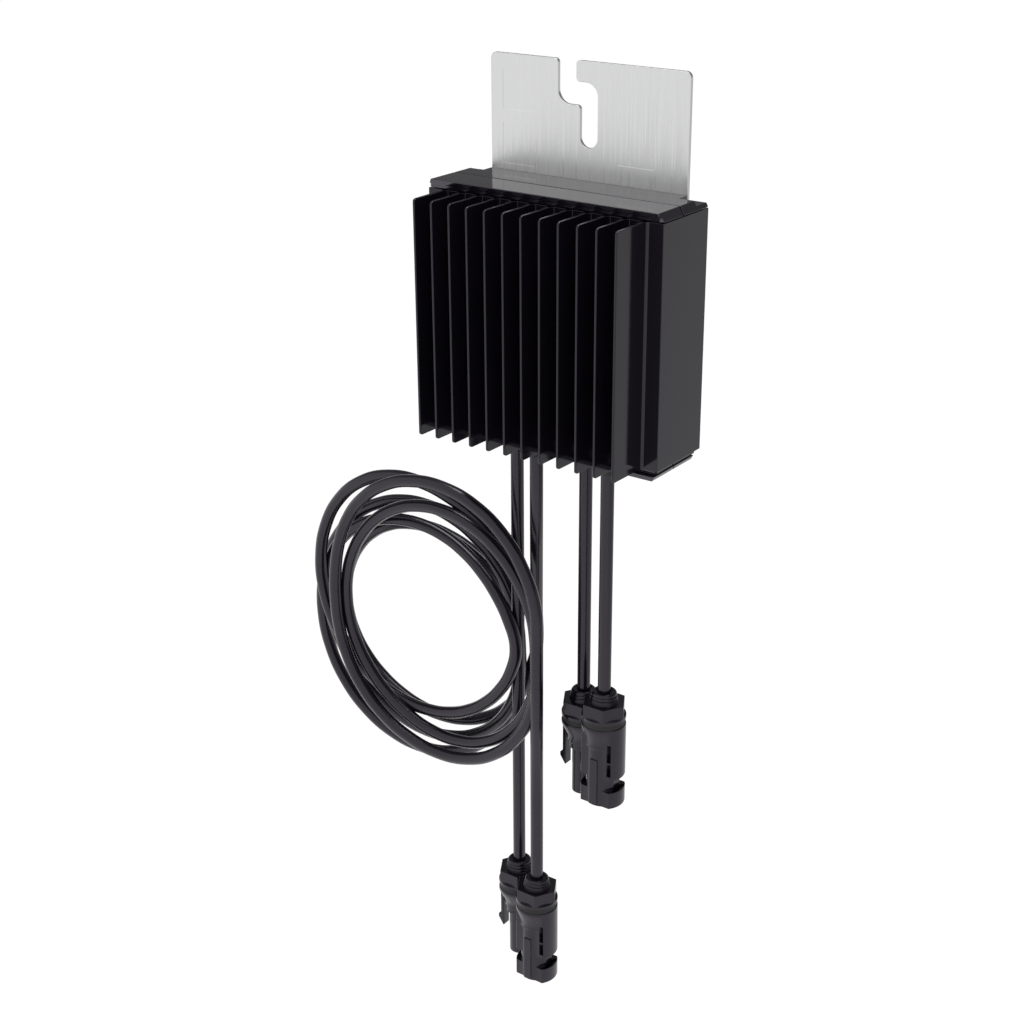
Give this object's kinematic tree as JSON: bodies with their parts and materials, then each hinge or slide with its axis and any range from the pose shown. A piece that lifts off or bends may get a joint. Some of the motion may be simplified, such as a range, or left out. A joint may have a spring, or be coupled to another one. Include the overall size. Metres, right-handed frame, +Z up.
{
  "type": "power optimizer",
  "caption": "Black finned power optimizer for a solar module, on a slotted metal rail bracket, with black leads that end in locking connectors and one lead wound in a round coil.",
  "frame": {"origin": "axis of the rail bolt at the closed end of the bracket's slot, on the bracket's rear face", "axes": "+Y towards the rail behind the bracket, +Z up, +X to the right seen from the fins"},
  "size_m": [0.245, 0.0624, 0.4903],
  "materials": {
    "sink_black": "glossy black anodised",
    "shell_black": "smooth gloss",
    "seal_rubber": "matte",
    "screw_steel": "plain zinc",
    "bracket_steel": "vertical brushing",
    "board_green": "solder resist",
    "pad_grey": "soft matte",
    "chip_black": "moulded",
    "ferrite": "sintered",
    "copper": "enamelled wire",
    "capacitor_sleeve": "shrink sleeve",
    "brass": "tinned",
    "cable_black": "smooth jacket",
    "connector_black": "moulded gloss",
    "connector_rubber": "matte"
  },
  "bodies": {
    "root": {"heat_sink": "sink_black", "front_shell": "shell_black", "rear_shell": "shell_black", "shell_seal": "seal_rubber", "grommet_1": "seal_rubber", "grommet_2": "seal_rubber", "grommet_3": "seal_rubber", "grommet_4": "seal_rubber", "shell_screws": "screw_steel", "bracket_screws": "screw_steel", "board_screws": "screw_steel", "mounting_bracket": "bracket_steel", "circuit_board": "board_green", "thermal_pad": "pad_grey", "power_transistor_1": "chip_black", "power_transistor_2": "chip_black", "power_transistor_3": "chip_black", "power_transistor_4": "chip_black", "controller_chip": "chip_black", "line_transformer": "chip_black", "inductor_core_1": "ferrite", "inductor_core_2": "ferrite", "inductor_winding_1": "copper", "inductor_winding_2": "copper", "capacitor_1": "capacitor_sleeve", "capacitor_2": "capacitor_sleeve", "capacitor_3": "capacitor_sleeve", "capacitor_4": "capacitor_sleeve", "terminal_1": "brass", "terminal_2": "brass", "terminal_3": "brass", "terminal_4": "brass", "output_plain_contact": "brass", "output_coiled_contact": "brass", "input_left_contact": "brass", "input_right_contact": "brass", "output_plain_lead": "cable_black", "output_coil_upper": "cable_black", "output_coil_lower": "cable_black", "input_left_lead": "cable_black", "input_right_lead": "cable_black", "output_coil": "cable_black", "output_plain_connector_body": "connector_black", "output_plain_gland_nut": "connector_black", "output_coiled_connector_body": "connector_black", "output_coiled_gland_nut": "connector_black", "input_left_connector_body": "connector_black", "input_left_gland_nut": "connector_black", "input_right_connector_body": "connector_black", "input_right_gland_nut": "connector_black", "output_plain_sealing_ring": "connector_rubber", "output_plain_cable_seal": "connector_rubber", "output_coiled_sealing_ring": "connector_rubber", "output_coiled_cable_seal": "connector_rubber", "input_left_sealing_ring": "connector_rubber", "input_left_cable_seal": "connector_rubber", "input_right_sealing_ring": "connector_rubber", "input_right_cable_seal": "connector_rubber"}
  },
  "joints": []
}
